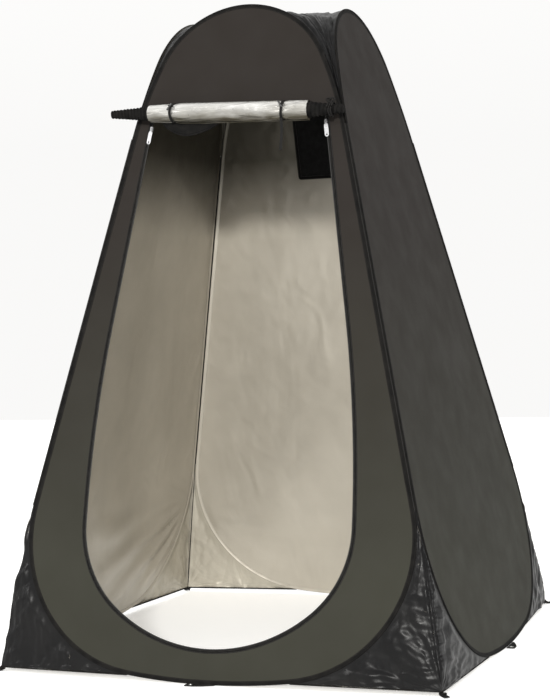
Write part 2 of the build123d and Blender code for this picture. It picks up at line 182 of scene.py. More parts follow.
def laid(side, line, closed):
    """A line laid on a wall: its path, its direction, and the direction to its right."""
    way = along(line, closed)
    path = on_wall(side, line[:, 0], line[:, 1])
    ahead = on_wall(side, line[:, 0] + way[:, 0], line[:, 1] + way[:, 1]) - path
    across = on_wall(side, line[:, 0] + way[:, 1], line[:, 1] - way[:, 0]) - path
    return path, ahead, across


# in a wall's own frame: up the seam at its right edge, and inward from it
UP_SEAM = np.array([-SIN, 1]) / math.hypot(SIN, 1)
INWARD = np.array([-1, -SIN]) / math.hypot(SIN, 1)


def touching_centre(start_foot, radius, other, reach):
    """Centre of an arc that touches the seam's parallel, at a distance from another arc's centre."""
    start = start_foot + INWARD * radius
    rise = (other - start) @ UP_SEAM
    gap = (other - start) @ INWARD
    return start + UP_SEAM * (rise - math.sqrt(reach**2 - gap**2))


def hoop_half(inset, extra):
    """Ends and centres of the runs of a hoop's right half; a run with no centre is straight."""
    base_r, corner_r, shoulder_r, crown_r = HOOP_RADII
    start_foot = np.array([HALF_BASE, 0]) + INWARD * (HOOP_INSET + extra)
    base = np.array([0, FOOT + base_r])
    crown = np.array([0, TOP - crown_r])
    corner = touching_centre(start_foot, corner_r, base, base_r - corner_r)
    shoulder = touching_centre(start_foot, shoulder_r, crown, shoulder_r - crown_r)
    low = (corner - base) / np.linalg.norm(corner - base)
    high = (crown - shoulder) / np.linalg.norm(crown - shoulder)
    points = [
        np.array([0, FOOT + inset]),
        base + low * (base_r - inset),
        corner - INWARD * (corner_r - inset),
        shoulder - INWARD * (shoulder_r - inset),
        crown + high * (crown_r - inset),
        np.array([0, TOP - inset]),
    ]
    return points, [base, corner, None, shoulder, crown]


def extra_of(side, hand):
    """How far a hoop stands back from the seam that opens, to clear its neighbour."""
    return 0.0008 if OPEN_EDGE.get(side) == hand else 0.0


def half_run(points, centres, count=90):
    runs = []
    for start, end, centre in zip(points, points[1:], centres):
        runs.append(np.linspace(start, end, count) if centre is None else arc(centre, start, end, count))
    return np.concatenate(runs)


def hoop_loop(side, inset=0.0, count=520):
    """Closed hoop line in a wall's own frame, anticlockwise from the bottom."""
    right = half_run(*hoop_half(inset, extra_of(side, 1)))
    left = half_run(*hoop_half(inset, extra_of(side, -1))) * [-1, 1]
    return resampled(np.concatenate([right, left[::-1]]), count)


def doorway_half(offset, top):
    """Right half of the doorway's edge, moved out by the offset."""
    turn = math.radians(8.3)
    corner_r, half_width, bottom, widest, straight = 0.3, 0.396, 0.096, 0.43, 1.0
    corner = np.array([half_width - corner_r, widest])
    gap = widest - bottom - corner_r
    base_r = corner_r + (corner[0] ** 2 + gap**2) / (2 * gap)
    base = np.array([0, bottom + base_r])
    side_r = (straight - widest) / math.sin(turn)
    middle = np.array([half_width - side_r, widest])
    square = np.array([math.cos(turn), math.sin(turn)])
    start = middle + square * (side_r + offset)
    length = (top - start[1]) / math.cos(turn)
    low = (corner - base) / np.linalg.norm(corner - base)
    points = [
        base - [0, base_r + offset],
        base + low * (base_r + offset),
        corner + [corner_r + offset, 0],
        start,
        start + np.array([-math.sin(turn), math.cos(turn)]) * length,
    ]
    return half_run(points, [base, corner, middle, None])


def doorway_line(offset, top, count):
    """Doorway's edge from its top left, round the bottom, to its top right."""
    right = doorway_half(offset, top)
    return resampled(np.concatenate([(right * [-1, 1])[::-1], right]), count, closed=False)


def rounded_rectangle(middle, size, radius, count):
    x, y = size[0] / 2 - radius, size[1] / 2 - radius
    corners = []
    for cx, cy, first in ((x, -y, -90), (x, y, 0), (-x, y, 90), (-x, -y, 180)):
        a = np.radians(np.linspace(first, first + 90, 12))
        corners.append(np.stack([cx + radius * np.cos(a), cy + radius * np.sin(a)], -1))
    return resampled(np.concatenate(corners) + middle, count)


# ---- mesh helpers --------------------------------------------------------------------
class Piece:
    """A mesh put together from patches of points and faces."""

    def __init__(self):
        self.points, self.faces, self.slots, self.size = [], [], [], 0

    def add(self, points, faces, slots=0):
        points = np.asarray(points, float).reshape(-1, 3)
        faces = np.asarray(faces)
        self.points.append(points)
        self.faces += (faces + self.size).tolist()
        self.slots += np.broadcast_to(slots, len(faces)).tolist()
        self.size += len(points)

    def make(self, name, materials, sharp=50, weld=True):
        mesh = bpy.data.meshes.new(name)
        mesh.from_pydata(np.concatenate(self.points).tolist(), [], self.faces)
        for material in materials:
            mesh.materials.append(material)
        mesh.polygons.foreach_set("material_index", np.array(self.slots, np.int32))
        bm = bmesh.new()
        bm.from_mesh(mesh)
        if weld:
            bmesh.ops.remove_doubles(bm, verts=bm.verts, dist=1e-6)
            bmesh.ops.dissolve_degenerate(bm, edges=bm.edges, dist=1e-7)
        bmesh.ops.recalc_face_normals(bm, faces=bm.faces)
        bm.to_mesh(mesh)
        bm.free()
        mesh.shade_smooth()
        mesh.set_sharp_from_angle(angle=math.radians(sharp))
        obj = bpy.data.objects.new(name, mesh)
        bpy.context.scene.collection.objects.link(obj)
        return obj


def grid_faces(rows, cols, wrap_rows=False, wrap_cols=False):
    i, j = np.meshgrid(
        np.arange(rows if wrap_rows else rows - 1), np.arange(cols if wrap_cols else cols - 1), indexing="ij"
    )
    i2, j2 = (i + 1) % rows, (j + 1) % cols
    return np.stack([i * cols + j, i * cols + j2, i2 * cols + j2, i2 * cols + j], -1).reshape(-1, 4)


def grid_normals(p, wrap_cols=False):
    if wrap_cols:
        dj = np.roll(p, -1, 1) - np.roll(p, 1, 1)
    else:
        dj = np.gradient(p, axis=1)
    n = np.cross(np.gradient(p, axis=0), dj)
    size = np.linalg.norm(n, axis=-1, keepdims=True)
    return n / np.maximum(size, 1e-12)


def add_sheet(piece, p, normal, thickness=CLOTH, wrap=False, slots=(0, 1, 0)):
    """Closed thin sheet on a grid of points: outer face, inner face and rim have their own slots."""
    rows, cols = p.shape[:2]
    count = rows * cols
    normal = np.broadcast_to(normal, p.shape)
    both = np.concatenate(
        [(p + normal * thickness / 2).reshape(-1, 3), (p - normal * thickness / 2).reshape(-1, 3)]
    )
    faces = grid_faces(rows, cols, wrap_cols=wrap)
    edges = []
    index = np.arange(count).reshape(rows, cols)
    for row in (index[0], index[-1]):
        ring = np.r_[row, row[:1]] if wrap else row
        edges.append(np.stack([ring[:-1], ring[1:]], -1))
    if not wrap:
        for col in (index[:, 0], index[:, -1]):
            edges.append(np.stack([col[:-1], col[1:]], -1))
    rim = np.concatenate(edges)
    rim = np.concatenate([rim, rim[:, ::-1] + count], 1)
    slot_list = np.repeat(slots, [len(faces), len(faces), len(rim)])
    piece.add(both, np.concatenate([faces, faces[:, ::-1] + count, rim]), slot_list)


def add_sweep(piece, path, across, up, profile, closed=True, slots=0, scale=None):
    """Closed profile carried along a path; across and up say where its two axes point."""
    profile = np.asarray(profile, float)
    rows, cols = len(path), len(profile)
    across = np.broadcast_to(across, path.shape)
    up = np.broadcast_to(up, path.shape)
    size = np.ones(rows) if scale is None else scale
    p = (
        path[:, None]
        + across[:, None] * (profile[None, :, :1] * size[:, None, None])
        + up[:, None] * (profile[None, :, 1:] * size[:, None, None])
    )
    faces = grid_faces(rows, cols, wrap_rows=closed, wrap_cols=True)
    if np.ndim(slots):
        slots = np.tile(slots, rows if closed else rows - 1)
    piece.add(p, faces, slots)
    if not closed:
        for ring in (p[0], p[-1]):
            fan = [[k, (k + 1) % cols, cols] for k in range(cols)]
            piece.add(np.concatenate([ring, ring.mean(0)[None]]), fan, 0)


def circle(radius, count):
    a = np.linspace(0, 2 * math.pi, count, endpoint=False)
    return np.stack([np.cos(a) * radius, np.sin(a) * radius], -1)


def strip(width, thickness, crown=0.0):
    """Profile of a flat strip with soft edges."""
    w, t = width / 2, thickness / 2
    xs = np.array([-w, -0.93 * w, -0.5 * w, 0, 0.5 * w, 0.93 * w, w])
    bow = crown * (1 - (xs / w) ** 2)
    height = np.array([0.3, 1, 1, 1, 1, 1, 0.3]) * t
    return np.concatenate([np.stack([xs, bow + height], -1), np.stack([xs, bow - height], -1)[::-1]])


def tube_frames(path, hint):
    t = along(path, False)
    side = np.cross(t, hint)
    side /= np.linalg.norm(side, axis=1, keepdims=True)
    return side, np.cross(side, t)


def add_tube(piece, path, radius, hint=(0, 0, 1), slots=0, count=10, scale=None):
    side, up = tube_frames(path, hint)
    add_sweep(piece, path, side, up, circle(radius, count), closed=False, slots=slots, scale=scale)


def add_stitches(piece, path, up, slot, pitch=0.0048, size=(0.0032, 0.0006, 0.0004), closed=True):
    """Short raised threads in a row along a path that lies on cloth."""
    length = np.linalg.norm(np.diff(path, axis=0), axis=1).sum()
    count = max(int(length / pitch), 2)
    spots = resampled(path, count, closed)
    ahead = along(spots, closed)
    up = np.broadcast_to(up, spots.shape) if np.ndim(up) == 1 else resampled(up, count, closed)
    side = np.cross(up, ahead)
    a, b, c = (x / 2 for x in size)
    shape = [(-a, -b, 0), (-a, b, 0), (-0.5 * a, 0, 2 * c), (a, -b, 0), (a, b, 0), (0.5 * a, 0, 2 * c)]
    points = np.stack([spots + ahead * x + side * y + up * z for x, y, z in shape], 1)
    base = np.arange(count)[:, None] * 6
    quads = np.concatenate([base + q for q in ([0, 1, 4, 3], [0, 3, 5, 2], [1, 2, 5, 4])])
    piece.add(points, quads, slot)
    ends = np.concatenate([base + q for q in ([0, 2, 1], [3, 4, 5])])
    piece.faces += (ends + piece.size - count * 6).tolist()
    piece.slots += [slot] * len(ends)


def add_lathe(piece, start, axis, profile, count=28, slots=0, wobble=None):
    """Rings of (place along the axis, radius) about an axis."""
    axis = np.asarray(axis, float) / np.linalg.norm(axis)
    side = np.cross(axis, (0.3, 0.2, 0.93))
    side /= np.linalg.norm(side)
    up = np.cross(axis, side)
    a = np.linspace(0, 2 * math.pi, count, endpoint=False)
    profile = np.asarray(profile, float)
    radius = profile[:, 1][:, None] * np.ones(count)
    if wobble is not None:
        radius = wobble(profile[:, 0][:, None], a[None, :], radius)
    p = (
        np.asarray(start)
        + axis * profile[:, 0][:, None, None]
        + (side * np.cos(a)[:, None] + up * np.sin(a)[:, None])[None] * radius[..., None]
    )
    piece.add(p, grid_faces(len(profile), count, wrap_cols=True), slots)


def area_of(p, wrap=False):
    """Area of a grid of points."""
    f = grid_faces(*p.shape[:2], wrap_cols=wrap)
    q = p.reshape(-1, 3)[f]
    first = np.linalg.norm(np.cross(q[:, 1] - q[:, 0], q[:, 2] - q[:, 0]), axis=1)
    return (first + np.linalg.norm(np.cross(q[:, 2] - q[:, 0], q[:, 3] - q[:, 0]), axis=1)).sum() / 2


def corner_name(side):
    return f"{side}_{NEXT_SIDE[side]}"


def corner_body(side):
    """Body name for a corner's tape and loop: the corner's own name, or the first wall where the corner
    opens.
    """
    name = corner_name(side)
    return name if name in CORNERS else side


def settle(obj, body, slot, *nodes):
    """Attach a piece to its body, or keep a corner's piece where it stands, and hide the CAD nodes it stands
    for; slot is not used.
    """
    if body in CORNERS:
        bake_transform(obj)
    else:
        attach(obj, body)
    if nodes:
        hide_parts(*nodes)
    return obj


# ---- materials -----------------------------------------------------------------------
def node(tree, kind, inputs=None, **settings):
    made = tree.nodes.new("ShaderNode" + kind)
    for key, value in settings.items():
        setattr(made, key, value)
    for key, value in (inputs or {}).items():
        if isinstance(value, bpy.types.NodeSocket):
            tree.links.new(value, made.inputs[key])
        else:
            made.inputs[key].default_value = value
    return made


def mixed(tree, factor, a, b, mode="MIX"):
    made = node(tree, "Mix", {0: factor}, data_type="RGBA", blend_type=mode)
    for index, value in ((6, a), (7, b)):
        if isinstance(value, bpy.types.NodeSocket):
            tree.links.new(value, made.inputs[index])
        else:
            made.inputs[index].default_value = (*value, 1)
    return made.outputs[2]


def ranged(tree, value, low, high, to_low=0.0, to_high=1.0):
    inputs = {"Value": value, "From Min": low, "From Max": high, "To Min": to_low, "To Max": to_high}
    return node(tree, "MapRange", inputs).outputs["Result"]


def speckle(tree, place, scale, stretch=(1, 1, 1), kind="FBM", detail=4.0, distortion=0.0):
    moved = node(tree, "Mapping", {"Vector": place, "Scale": stretch}).outputs["Vector"]
    inputs = {"Vector": moved, "Scale": scale, "Detail": detail, "Distortion": distortion}
    return node(tree, "TexNoise", inputs, noise_type=kind).outputs["Fac"]


def bumped(tree, normal, height, strength, depth):
    """A normal with more relief on it."""
    inputs = {"Height": height, "Strength": strength, "Distance": depth}
    if normal:
        inputs["Normal"] = normal
    return node(tree, "Bump", inputs).outputs["Normal"]


def surface(
    name, dark, light, roughness=(0.6, 0.8), cloudy=4.0, weave=0.0, weave_depth=0.0001, weave_turn=45.0,
    creases=(), top=None, fine=(0, 0), wear=None, underside_painted_shade=None, **sockets,
):
    """Procedural surface: cloudy colour, weave, creases, fine grain and worn edges.

    top is a colour and the heights it comes in between: on the outer cloth a darker, browner top, on the
    linings painted shade over the upper inside.
    underside_painted_shade is painted shade on the underside of a round thing: direction, level, reach,
    colour.
    A crease is kind, scale, stretch, depth, distortion.
    """
    mat = bpy.data.materials.new(name)
    mat.use_nodes = True
    tree = mat.node_tree
    bsdf = tree.nodes["Principled BSDF"]
    place = node(tree, "TexCoord").outputs["Object"]
    cloud = speckle(tree, place, cloudy, detail=6)
    colour = mixed(tree, ranged(tree, cloud, 0.3, 0.7), dark, light)
    # colour by height: on the linings this is painted shade over the upper inside
    if top:
        height = node(tree, "SeparateXYZ", {"Vector": place}).outputs["Z"]
        colour = mixed(tree, ranged(tree, height, top[1], top[2]), colour, top[0])
    normal = None
    if weave:
        scale = 0.314159 / weave
        threads = {"Vector": place, "Scale": scale, "Distortion": 0.4}
        weft = node(tree, "TexWave", threads, bands_direction="Z")
        turn = {"Vector": place, "Rotation": (0, 0, math.radians(weave_turn))}
        skewed = node(tree, "Mapping", turn).outputs["Vector"]
        warp = node(tree, "TexWave", {"Vector": skewed, "Scale": scale * 1.3, "Distortion": 0.4})
        threads = node(tree, "Math", {0: weft.outputs["Fac"], 1: warp.outputs["Fac"]}, operation="MULTIPLY")
        threads = threads.outputs[0]
        colour = mixed(tree, ranged(tree, threads, 0, 1, 0.0, 0.22), colour, light, "SCREEN")
        normal = bumped(tree, normal, threads, 0.6, weave_depth)
    if fine[0]:
        normal = bumped(tree, normal, speckle(tree, place, fine[0]), 0.7, fine[1])
    # painted shade: the side of a round thing below its level, along a wavy line, turns to the dark colour
    if underside_painted_shade:
        way, level, reach, under = underside_painted_shade
        height = node(tree, "VectorMath", {0: place, 1: way}, operation="DOT_PRODUCT").outputs["Value"]
        wavy = ranged(tree, speckle(tree, place, 14, (1, 3, 3)), 0.3, 0.7, -0.3 * reach, 0.3 * reach)
        height = node(tree, "Math", {0: height, 1: wavy}, operation="ADD").outputs[0]
        colour = mixed(tree, ranged(tree, height, level - reach, level + 0.35 * reach), under, colour)
    for kind, scale, stretch, depth, distortion in creases:
        fold = speckle(tree, place, scale, stretch, kind, 3.0, distortion)
        normal = bumped(tree, normal, fold, 1.0, depth)
    if wear:
        pointy = node(tree, "NewGeometry").outputs["Pointiness"]
        colour = mixed(tree, ranged(tree, pointy, 0.52, 0.62), colour, wear)
    tree.links.new(colour, bsdf.inputs["Base Color"])
    rough = ranged(tree, speckle(tree, place, cloudy * 5), 0.3, 0.7, *roughness)
    tree.links.new(rough, bsdf.inputs["Roughness"])
    if normal:
        tree.links.new(normal, bsdf.inputs["Normal"])
    for key, value in sockets.items():
        bsdf.inputs[key.replace("_", " ")].default_value = value
    return mat


RIDGED, SOFT = "RIDGED_MULTIFRACTAL", "FBM"
outer_cloth = surface(
    "outer_cloth", (0.0190, 0.0188, 0.0140), (0.0230, 0.0228, 0.0170), (0.66, 0.78), 2.2, weave=0.0011,
    weave_depth=0.00005,
    creases=[(SOFT, 2.2, (1, 1, 0.6), 0.004, 0.4), (RIDGED, 5.0, (1, 1, 0.5), 0.0005, 0.8)],
    top=((0.0125, 0.0100, 0.0086), 0.3, 1.3), Specular_IOR_Level=0.12,
)
# the lining turns dark from 1.25 m to 1.50 m: painted shade over the upper inside
lining = surface(
    "silver_lining", (0.345, 0.318, 0.268), (0.415, 0.385, 0.328), (0.32, 0.45), 3.0, weave=0.0011,
    weave_depth=0.00006,
    creases=[
        (SOFT, 3.5, (1, 1, 0.55), 0.010, 0.7),
        (RIDGED, 7.0, (1, 1, 0.7), 0.0022, 1.4),
        (RIDGED, 22.0, (1, 1, 0.8), 0.0004, 0.8),
    ],
    top=((0.032, 0.028, 0.018), 1.25, 1.50), Metallic=0.5,
)
# dark from 1.25 m to 1.50 m, so the roof's inside carries painted shade
crumpled_lining = surface(
    "crumpled_lining", (0.30, 0.277, 0.227), (0.40, 0.372, 0.312), (0.32, 0.46), 6.0, weave=0.0011,
    weave_depth=0.00006,
    creases=[(SOFT, 7.0, (1, 1, 0.8), 0.010, 1.0), (RIDGED, 15.0, (1, 1, 1), 0.0022, 1.0)],
    top=((0.02, 0.018, 0.012), 1.25, 1.50), Metallic=0.5,
)
# the rolled door's axis on the front wall: its tilt, and its middle across, up and out
ROLL_TURN = math.radians(-3.0)
ROLL_MIDDLE = np.array([-0.015, 1.611, 0.033])
# the roll's up direction and its axis's level, for the painted shade on its underside
roll_up = on_wall("front", -math.sin(ROLL_TURN), math.cos(ROLL_TURN)) - on_wall("front", 0, 0)
roll_level = float(on_wall("front", *ROLL_MIDDLE) @ roll_up)
# the roll's underside is painted dark: painted shade below its axis
door_silver = surface(
    "door_silver", (0.38, 0.372, 0.345), (0.56, 0.555, 0.54), (0.26, 0.42), 9.0, weave=0.0011,
    weave_depth=0.00006,
    creases=[(RIDGED, 9.0, (1, 6, 6), 0.0045, 1.5), (RIDGED, 40.0, (1, 1.6, 1.6), 0.0012, 1.0)],
    underside_painted_shade=(tuple(roll_up), roll_level, 0.029, (0.07, 0.062, 0.042)), Metallic=0.6,
)
gusset_cloth = surface(
    "gusset_cloth", (0.003, 0.003, 0.0033), (0.006, 0.0058, 0.0058), (0.28, 0.4), 9.0, weave=0.0009,
    weave_depth=0.00004,
    creases=[(RIDGED, 16.0, (1, 1, 1), 0.0016, 0.6), (RIDGED, 45.0, (1, 1, 1), 0.0006, 0.6)],
    Specular_IOR_Level=0.13,
)
binding = surface(
    "binding_tape", (0.004, 0.004, 0.004), (0.009, 0.0085, 0.008), (0.55, 0.75), 40.0, weave=0.0016,
    weave_depth=0.0003, wear=(0.012, 0.011, 0.010), Specular_IOR_Level=0.03,
)
webbing = surface(
    "webbing", (0.005, 0.005, 0.005), (0.012, 0.0115, 0.011), (0.5, 0.7), 60.0, weave=0.0022,
    weave_depth=0.0006, wear=(0.014, 0.013, 0.012), Specular_IOR_Level=0.06,
)
zip_tape = surface(
    "zip_tape", (0.004, 0.004, 0.004), (0.009, 0.0085, 0.008), (0.6, 0.8), 50.0, weave=0.0013,
    weave_depth=0.00015, weave_turn=20, Specular_IOR_Level=0.03,
)
zip_coil = surface(
    "zip_coil", (0.005, 0.005, 0.005), (0.011, 0.011, 0.011), (0.35, 0.5), 120.0, fine=(900, 0.00005),
    wear=(0.02, 0.02, 0.019), Specular_IOR_Level=0.25,
)
thread = surface(
    "stitch_thread", (0.02, 0.02, 0.019), (0.05, 0.048, 0.045), (0.5, 0.7), 200.0, fine=(2500, 0.0001),
)
zip_metal = surface(
    "zip_metal", (0.20, 0.20, 0.205), (0.36, 0.36, 0.365), (0.22, 0.42), 60.0, fine=(300, 0.00006),
    wear=(0.6, 0.6, 0.61), Metallic=1.0,
)
steel = surface(
    "spring_steel", (0.3, 0.3, 0.31), (0.45, 0.45, 0.46), (0.25, 0.45), 80.0, fine=(600, 0.00005),
    Metallic=1.0,
)
ferrule = surface(
    "ferrule_steel", (0.42, 0.42, 0.43), (0.6, 0.6, 0.61), (0.2, 0.4), 80.0, fine=(500, 0.00005),
    Metallic=1.0,
)
eyelet_metal = surface(
    "eyelet_metal", (0.5, 0.5, 0.5), (0.72, 0.72, 0.71), (0.2, 0.42), 90.0, fine=(700, 0.00006),
    wear=(0.9, 0.9, 0.88), Metallic=1.0,
)
toggle_plastic = surface(
    "toggle_plastic", (0.009, 0.009, 0.009), (0.018, 0.018, 0.018), (0.32, 0.5), 120.0, fine=(1500, 0.00004),
    wear=(0.05, 0.05, 0.05),
)
window_net = surface(
    "window_net", (0.002, 0.002, 0.002), (0.007, 0.007, 0.007), (0.6, 0.8), 60.0, weave=0.0024,
    weave_depth=0.0009, Specular_IOR_Level=0.1,
)
floor_paint = surface(
    "floor_paint", (0.76, 0.76, 0.755), (0.80, 0.80, 0.795), (0.7, 0.85), 0.8, fine=(60, 0.0002),
    Emission_Color=(1, 1, 0.99, 1), Emission_Strength=0.38,
)

CAD_LOOKS = {
    "hoop_wire": steel, "hoop_ferrule": ferrule, "zip_slider": zip_metal, "zip_pull": zip_metal,
}
for name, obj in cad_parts.items():
    for start, look in CAD_LOOKS.items():
        if name.startswith(start):
            obj.data.materials.clear()
            obj.data.materials.append(look)
            obj.data.shade_smooth()


# ---- walls ---------------------------------------------------------------------------
def corner_folds(u, s, corner, count, depth, reach, seed):
    """Folds that spread from a point near a lower corner."""
    du, ds = u - corner[0], s - corner[1]
    far = np.hypot(du, ds)
    angle = np.arctan2(ds, np.abs(du) + 0.02)
    wander = 0.5 * noise2(far, angle, 5.0, 2.0, seed)
    fold = np.sin(angle * count + wander * 3)
    fold = np.sign(fold) * np.abs(fold) ** 0.8
    fade = smooth(far, 0.06, 0.2) * (1 - smooth(far, reach * 0.5, reach))
    return depth * fold * fade * (0.6 + 0.4 * noise2(far, angle, 4.0, 3.0, seed + 3))


# for each wall: side of the wall, height the folds spread from, number, depth, reach
FOLDS = {
    "front": [(1, 0.06, 9, 0.0006, 0.5), (-1, 0.06, 9, 0.0006, 0.5)],
    "right": [(1, 0.06, 9, 0.0012, 0.5), (-1, 0.06, 9, 0.0010, 0.5)],
    "back": [(1, 0.34, 20, 0.0030, 0.6), (-1, 0.34, 20, 0.0026, 0.6)],
    "left": [(1, 0.06, 14, 0.0015, 0.5), (-1, 0.36, 26, 0.0072, 1.0)],
}
PUCKER = {"front": 0.0003, "right": 0.0004, "back": 0.0036, "left": 0.0036}


def wall_waves(side, u, s, edge):
    """How far the cloth stands out of a wall's flat plane."""
    seed = 11 * SIDES.index(side) + 3
    # in the photograph the outer walls are almost flat
    calm = 0.35 if side in ("front", "right") else 1.0
    depth = calm * 0.0022 * noise2(u, s, 2.6, 1.7, seed)
    depth += calm * 0.0010 * noise2(u + 0.3 * s, s, 9.0, 4.0, seed + 1)
    depth += PUCKER[side] * np.exp(-edge / 0.045) * noise2(u, s, 34.0, 40.0, seed + 2)
    for hand, height, count, fold_depth, reach in FOLDS[side]:
        low = 1 - smooth(s - height, -0.06, 0.10) if height > 0.1 else 1.0
        depth += low * corner_folds(u, s, (hand * 0.6, height), count, fold_depth, reach, seed + 5 + hand)
    if side == "back":
        sweep = np.exp(-(((s - 0.17 - 0.12 * u**2) / 0.045) ** 2)) - 0.7 * np.exp(-(((s - 0.26) / 0.06) ** 2))
        depth += 0.0085 * sweep * (0.7 + 0.3 * noise2(u, s, 4.0, 2.0, seed + 9))
    return depth * smooth(edge, 0.006, 0.05)


def polar(loop, centre, angles):
    """Distance from a centre to a loop round it, at the given angles."""
    d = resampled(loop, 4000) - centre
    a = np.arctan2(d[:, 1], d[:, 0])
    order = np.argsort(a)
    return np.interp(angles, a[order], np.hypot(d[:, 0], d[:, 1])[order], period=2 * math.pi)


LEAST_SHARE = 0.3001


def wall_sheet(side):
    """A wall's cloth, on rays from its middle or round its doorway or window, out to the hoop."""
    outer = hoop_loop(side, 0.0031, 500 if side in ("front", "right") else 720)
    centre, hole = np.array([0, 0.85]), None
    if side == "front":
        half = doorway_half(0.0124, 1.610)
        hole = np.concatenate([half, (half * [-1, 1])[::-1]])
    if side == "back":
        centre = np.array(WINDOW_MIDDLE)
        hole = rounded_rectangle(centre, WINDOW_SIZE, 0.014, 400)
    d = outer - centre
    angles = np.arctan2(d[:, 1], d[:, 0])
    if side == "front":
        corner = half[-1] - centre
        sharp = np.arctan2(corner[1], corner[0])
        angles = np.concatenate([angles, [sharp, math.pi - sharp, sharp + 1e-3, math.pi - sharp - 1e-3]])
    angles = np.sort(angles)
    reach = polar(outer, centre, angles)
    inside = np.zeros_like(reach) if hole is None else polar(hole, centre, angles)
    t = np.linspace(0, 1, 64)
    t = (0.55 * t + 0.45 * (0.5 - 0.5 * np.cos(np.pi * t)))[:, None]
    r = inside + t * (reach - inside)
    u, s = centre[0] + r * np.cos(angles), centre[1] + r * np.sin(angles)
    edge = (reach - inside) * (1 - t)
    if hole is not None:
        edge = np.minimum(edge, (reach - inside) * t + 0.002)
    p = on_wall(side, u, s, wall_waves(side, u, s, edge))
    piece = Piece()
    add_sheet(piece, p, wall_normal(side), wrap=True)
    obj = piece.make(f"wall_{side}", [outer_cloth, lining])
    settle(obj, side, "wall_cloth", f"wall_panel_{side}")
    flat_area = area_of(on_wall(side, u, s), wrap=True)
    width, length = np.ptp(outer[:, 0]), np.ptp(outer[:, 1])
    return obj, (width, length), max(flat_area, LEAST_SHARE * width * length)


# ---- hoop sleeves --------------------------------------------------------------------
ROUND = [40, 44, 48, 52, 56, 60, 0, 4, 8, 12, 16, 20, 24]
FLANGE = [(-0.0095, 0.0008), (-0.0095, -0.0008)]
SLEEVE_PROFILE = np.concatenate([circle(1, 64)[ROUND] * SLEEVE, FLANGE])
SLEEVE_POINTS = 560


def hoop_sleeve(side):
    """Bias tape round the spring hoop, sewn to the wall's edge."""
    path, _, across = laid(side, hoop_loop(side, 0.0, SLEEVE_POINTS), True)
    up = wall_normal(side)
    # the lining shows only on the sleeve's innermost faces and the flange's inner face
    middle = (SLEEVE_PROFILE[:, 1] + np.roll(SLEEVE_PROFILE[:, 1], -1)) / 2
    inside = (middle < -0.0024) | ((SLEEVE_PROFILE[:, 0] < -0.004) & (middle < 0))
    slots = np.where(inside, 1, 0)
    piece = Piece()
    gather = 1 + 0.03 * noise2(np.arange(SLEEVE_POINTS), 0, 0.35, 1.0, 5)
    add_sweep(piece, path, across, up, SLEEVE_PROFILE, slots=slots, scale=gather)
    for face in (1, -1):
        add_stitches(piece, path - across * 0.0076 + up * face * 0.0009, up * face, 2)
    obj = piece.make(f"sleeve_{side}", [binding, lining, thread], sharp=40, weld=False)
    return settle(obj, side, "binding", f"hoop_sleeve_{side}")


# ---- corners -------------------------------------------------------------------------
def corner_line(side, low, high, count):
    """The line where two walls' planes meet, from one height to another."""
    z = np.linspace(low, high, count)
    out = HALF_BASE - z * TAN
    return turned(side, np.stack([out, -out, z], -1))


def seam_tape(side):
    """Tape sewn over the seam where two walls' hoops run side by side."""
    points, _ = hoop_half(0.0, 0.0)
    low, high = points[2][1] * COS, points[3][1] * COS
    path = corner_line(side, low, high, 220)
    rise = (path[-1] - path[0]) / np.linalg.norm(path[-1] - path[0])
    outward = turned(side, np.array([1, -1, 0.0]) / math.sqrt(2))
    up = outward - rise * (outward @ rise)
    up /= np.linalg.norm(up)
    across = np.cross(up, rise)
    wander = 0.00025 * noise2(np.arange(220), 0, 0.3, 1.0, SIDES.index(side))
    path = path - up * 0.0002 + across * wander[:, None]
    piece = Piece()
    add_sweep(piece, path, across, up, strip(0.0114, 0.0009, 0.0011), closed=False)
    for hand in (-1, 1):
        row = path + across * hand * 0.0042 + up * 0.0009
        add_stitches(piece, row, up, 1, closed=False)
    name = corner_name(side)
    obj = piece.make(f"seam_tape_piece_{name}", [binding, thread], sharp=40, weld=False)
    return settle(obj, corner_body(side), "binding", f"seam_tape_{name}")


def gusset_rim(side, hand):
    """Points just outside the hoop's lower corner, from the hem up to the seam."""
    outset = -(SLEEVE - 0.0006)
    points, centres = hoop_half(outset, extra_of(side, hand))
    swing = math.asin(0.24 / HOOP_RADII[0])
    reach = HOOP_RADII[0] - outset
    start = centres[0] + reach * np.array([math.sin(swing), -math.cos(swing)])
    foot = arc(centres[0], start, points[1], 30)
    rim = np.concatenate([foot, arc(centres[1], points[1], points[2], 90)[1:]])
    rim = resampled(rim, 90, closed=False)
    return on_wall(side, hand * rim[:, 0], rim[:, 1])


GUSSET_APEX = np.array([0.651, -0.651, 0.012])


def gusset_surface(side, rim, seed):
    """Crumpled fan from the ground corner to the hoops' lower corners."""
    apex = turned(side, GUSSET_APEX)
    t = np.linspace(0, 1, 72)[:, None, None]
    flat = rim[None] * (1 - t) + apex * t
    row = np.linspace(0, 1, rim.shape[0])[None, :]
    v = np.linspace(0, 1, 72)[:, None]
    out = turned(side, np.array([1, -1, 0.4]) / math.sqrt(2.16))
    normal = grid_normals(flat)
    normal[-1] = normal[-2]
    normal *= np.sign((normal @ out))[..., None]
    fans = creased(row, v, 11.0, 1.3, seed)
    crumple = facets(flat, seed, 6.0)
    tame = 0.35 if side == "back" else 1.0
    fade = smooth(v, 0.0, 0.16) * (1 - smooth(v, 0.8, 1.0))
    fade = fade * smooth(row, 0, 0.03) * (1 - smooth(row, 0.97, 1))
    # outward only, so that the two halves of a corner that folds shut stay clear of each other
    depth = fade * np.maximum(tame * (0.0030 * fans + 0.0056 * crumple) + 0.003, 0.0)
    p = flat + normal * depth[..., None]
    p[..., 2] = np.maximum(p[..., 2], 0.0012)
    return p, flat, np.broadcast_to(out, p.shape)


